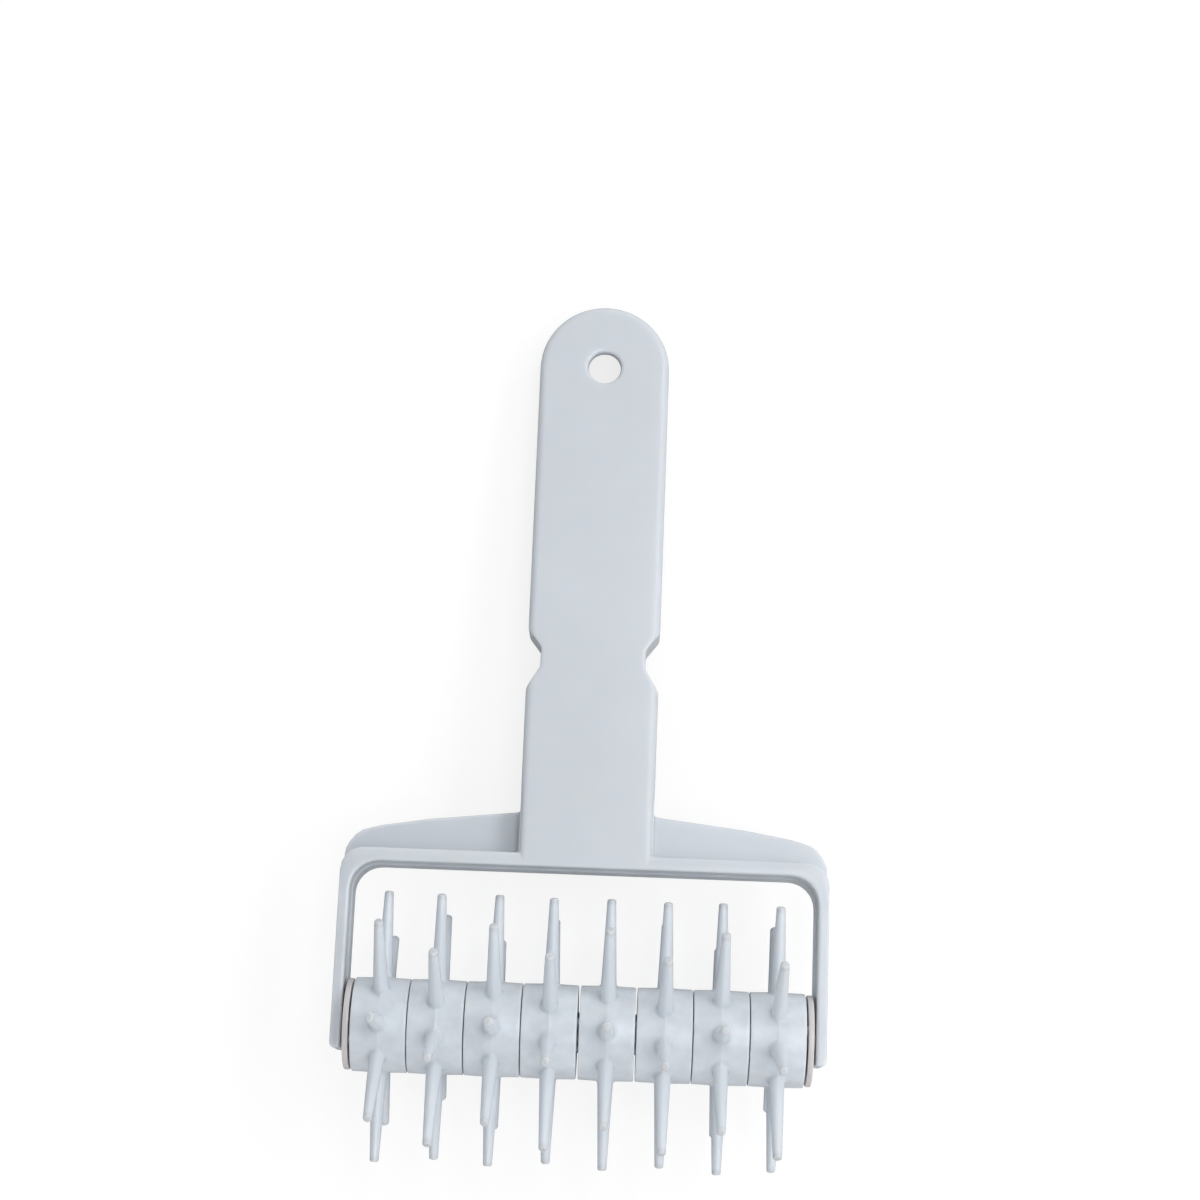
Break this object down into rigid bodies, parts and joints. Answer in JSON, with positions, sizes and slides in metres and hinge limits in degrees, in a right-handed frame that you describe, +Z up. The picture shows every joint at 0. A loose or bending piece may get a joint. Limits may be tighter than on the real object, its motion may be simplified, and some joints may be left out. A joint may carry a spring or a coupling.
{
  "type": "dough docker",
  "caption": "Dough docker: spiked plastic wheels turn on a steel axle held in a moulded yoke with a flat hanging handle, to prick rolled pastry.",
  "frame": {"origin": "on the worktop, under the middle of the part's bounding box", "axes": "+X along the axle, +Y towards the hanging end of the handle, +Z up from the worktop"},
  "size_m": [0.104, 0.1872, 0.0562],
  "materials": {
    "frame_plastic": "cool white, satin moulded",
    "wheel_plastic": "cool white, satin moulded",
    "disc_plastic": "warm white, matte",
    "axle_steel": "drawn steel rod"
  },
  "bodies": {
    "frame": {"frame": "frame_plastic", "axle": "axle_steel"},
    "roller": {"end_disc_left": "disc_plastic", "wheel_1": "wheel_plastic", "wheel_2": "wheel_plastic", "wheel_3": "wheel_plastic", "wheel_4": "wheel_plastic", "wheel_5": "wheel_plastic", "wheel_6": "wheel_plastic", "wheel_7": "wheel_plastic", "wheel_8": "wheel_plastic", "end_disc_right": "disc_plastic"}
  },
  "joints": [
    {"name": "roller_spin", "type": "hinge", "parent": "frame", "child": "roller", "pos_m": [0, -0.06552, 0.02811], "axis": [1, 0, 0], "continuous": true}
  ]
}
